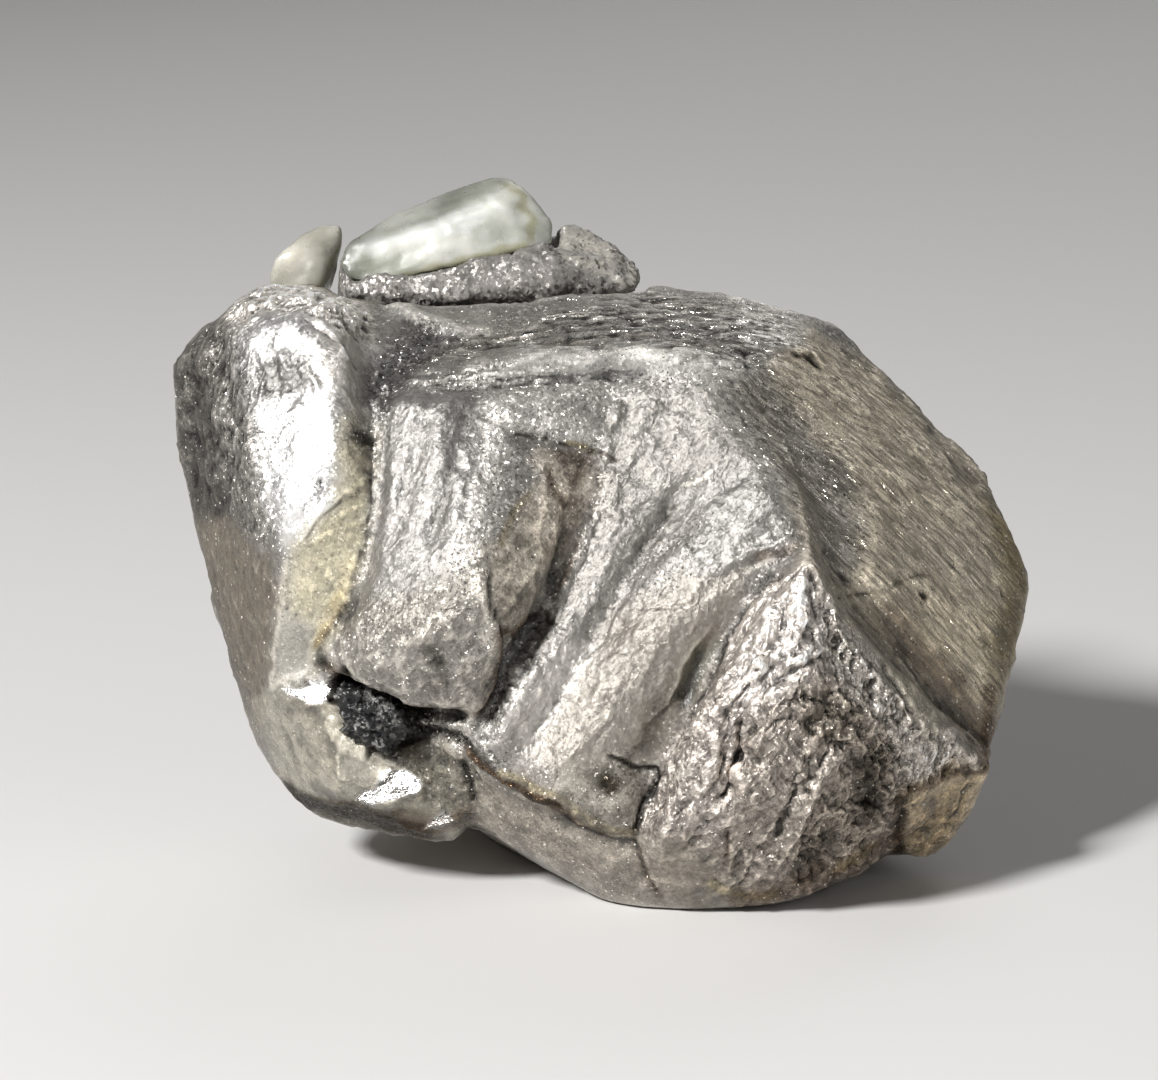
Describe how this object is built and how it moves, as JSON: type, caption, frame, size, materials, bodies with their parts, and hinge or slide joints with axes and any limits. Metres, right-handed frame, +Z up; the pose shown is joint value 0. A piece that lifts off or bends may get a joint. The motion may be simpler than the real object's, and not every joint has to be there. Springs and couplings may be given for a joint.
{
  "type": "phenakite crystal",
  "caption": "Grey phenakite crystal group with stepped, striated faces, dark mica in its seams and a pale clear crystal on top; rests on a flat broken base.",
  "frame": {"origin": "a point on the flat broken face that the specimen rests on, near its left edge", "axes": "+Z up, square to the resting face; +X to the right along the longest extent, seen with the stepped front facing the viewer; +Y away from the viewer"},
  "size_m": [0.0346, 0.0256, 0.027],
  "materials": {
    "phenakite": "satin, silvery grey with brown and olive translucent places",
    "pale_phenakite": "polished, translucent pale green-grey",
    "mica": "flaky, glittering dark grey to black"
  },
  "bodies": {
    "root": {"phenakite_cluster": "phenakite", "pale_crystal": "pale_phenakite", "pale_chip": "pale_phenakite", "mica_bed": "mica", "mica_pocket": "mica"}
  },
  "joints": []
}
